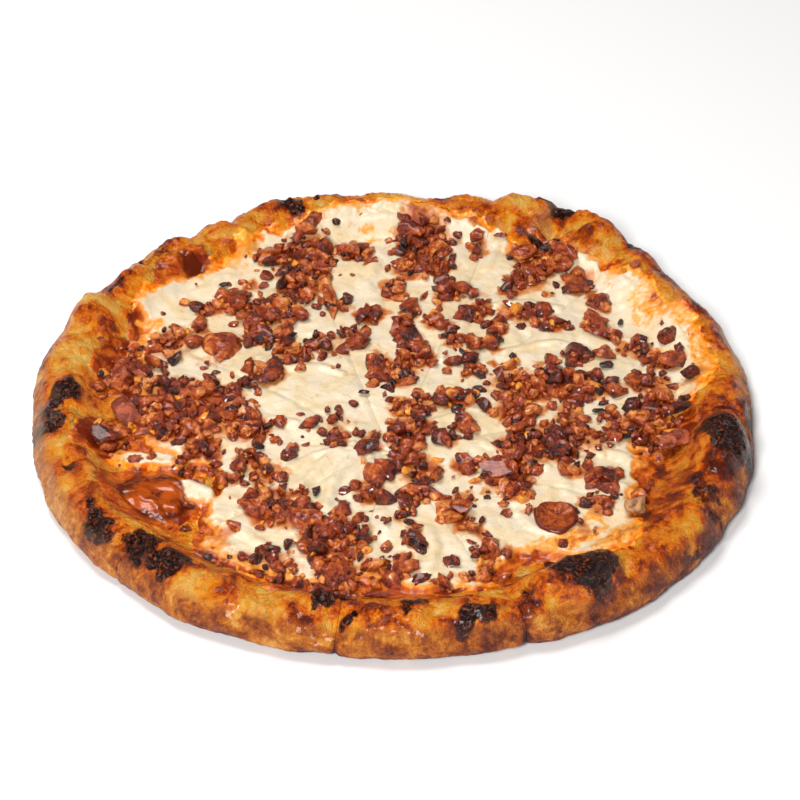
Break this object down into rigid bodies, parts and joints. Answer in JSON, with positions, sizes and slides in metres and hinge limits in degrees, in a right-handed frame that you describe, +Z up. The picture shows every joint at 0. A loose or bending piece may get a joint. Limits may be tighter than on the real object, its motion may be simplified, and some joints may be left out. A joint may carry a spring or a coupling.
{
  "type": "all-dressed pizza",
  "caption": "Round baked pizza with a blistered rim, melted cheese, crumbled bacon and ham, cut into slices that still lie together.",
  "frame": {"origin": "under the middle of the pizza, on the surface it rests on", "axes": "+Z up through the toppings, +X to the right and +Y away from the viewer of the picture, where the torn blister is at the back right"},
  "size_m": [0.349, 0.3522, 0.0306],
  "materials": {
    "crust": "baked dough, mottled gold to black, matte",
    "cheese": "melted mozzarella over tomato sauce, soft oily sheen",
    "bacon": "crisp crumbled bacon, glistening with fat",
    "ham": "cooked ham, moist",
    "glazed_bacon": "browned fatty bacon, glazed with oil",
    "mushroom": "cooked mushroom, moist",
    "pepperoni": "cured sausage slice, oily"
  },
  "bodies": {
    "root": {"bacon_arc": "bacon", "bacon_chunk_01": "bacon", "bacon_chunk_02": "bacon", "bacon_chunk_03": "bacon", "bacon_chunk_04": "bacon", "bacon_chunk_05": "bacon", "bacon_chunk_06": "bacon", "bacon_chunk_07": "bacon", "bacon_chunk_08": "bacon", "bacon_chunk_09": "bacon", "bacon_chunk_10": "bacon", "bacon_chunk_11": "bacon", "bacon_chunk_12": "bacon", "bacon_chunk_13": "bacon", "bacon_chunk_14": "bacon", "bacon_chunk_15": "bacon", "bacon_chunk_16": "bacon", "bacon_chunk_17": "bacon", "bacon_chunk_18": "bacon", "bacon_chunk_19": "bacon", "bacon_chunk_20": "bacon", "bacon_chunk_21": "bacon", "bacon_chunk_22": "bacon", "bacon_chunk_23": "bacon", "bacon_chunk_24": "bacon", "bacon_chunk_25": "bacon", "bacon_chunk_26": "bacon", "bacon_chunk_27": "bacon", "bacon_chunk_28": "bacon", "bacon_chunk_29": "bacon", "bacon_chunk_30": "bacon", "bacon_chunk_31": "bacon", "bacon_strip": "bacon", "cheese_slice_01": "cheese", "cheese_slice_02": "cheese", "cheese_slice_03": "cheese", "cheese_slice_04": "cheese", "cheese_slice_05": "cheese", "cheese_slice_06": "cheese", "cheese_slice_07": "cheese", "cheese_slice_08": "cheese", "cheese_slice_09": "cheese", "cheese_slice_10": "cheese", "crust_slice_01": "crust", "crust_slice_02": "crust", "crust_slice_03": "crust", "crust_slice_04": "crust", "crust_slice_05": "crust", "crust_slice_06": "crust", "crust_slice_07": "crust", "crust_slice_08": "crust", "crust_slice_09": "crust", "crust_slice_10": "crust", "glazed_chunk": "glazed_bacon", "ham_piece_1": "ham", "ham_piece_2": "ham", "ham_piece_3": "ham", "ham_piece_4": "ham", "mushroom_piece": "mushroom", "pepperoni_slice": "pepperoni"}
  },
  "joints": []
}
